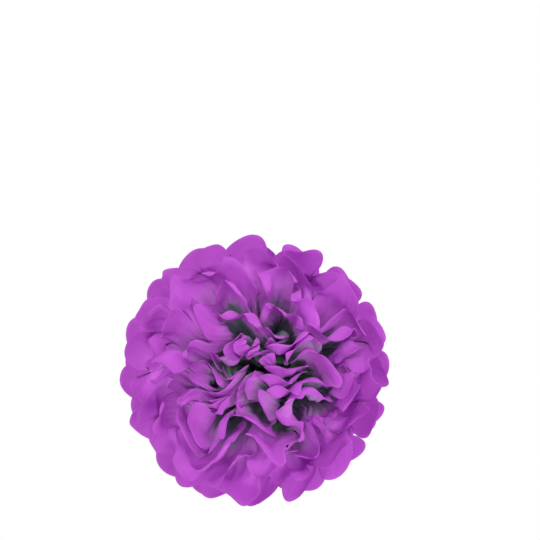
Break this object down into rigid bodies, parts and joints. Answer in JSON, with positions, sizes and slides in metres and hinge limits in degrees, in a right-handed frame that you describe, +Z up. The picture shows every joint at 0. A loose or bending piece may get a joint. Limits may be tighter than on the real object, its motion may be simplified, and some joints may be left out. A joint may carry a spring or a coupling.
{
  "type": "tissue paper pom pom",
  "caption": "Round fluffy pom pom of pleated purple tissue paper sheets, tied at the middle with wire and hung on a white string.",
  "frame": {"origin": "where the string's end loop bears on its hook, at the top of the loop's hole", "axes": "+Z up along the taut string, -Y towards the front pole of the ball, X along the sheets' length"},
  "size_m": [0.4091, 0.4317, 0.8076],
  "materials": {
    "purple_tissue": "matte thin tissue",
    "wire": "plain drawn wire",
    "white_string": "matte twisted string"
  },
  "bodies": {
    "root": {"tissue_sheet_01": "purple_tissue", "tissue_sheet_02": "purple_tissue", "tissue_sheet_03": "purple_tissue", "tissue_sheet_04": "purple_tissue", "tissue_sheet_05": "purple_tissue", "tissue_sheet_06": "purple_tissue", "tissue_sheet_07": "purple_tissue", "tissue_sheet_08": "purple_tissue", "tissue_sheet_09": "purple_tissue", "tissue_sheet_10": "purple_tissue", "tissue_sheet_11": "purple_tissue", "tissue_sheet_12": "purple_tissue", "tie_wire": "wire", "hanging_string": "white_string", "string_loop": "white_string"}
  },
  "joints": []
}
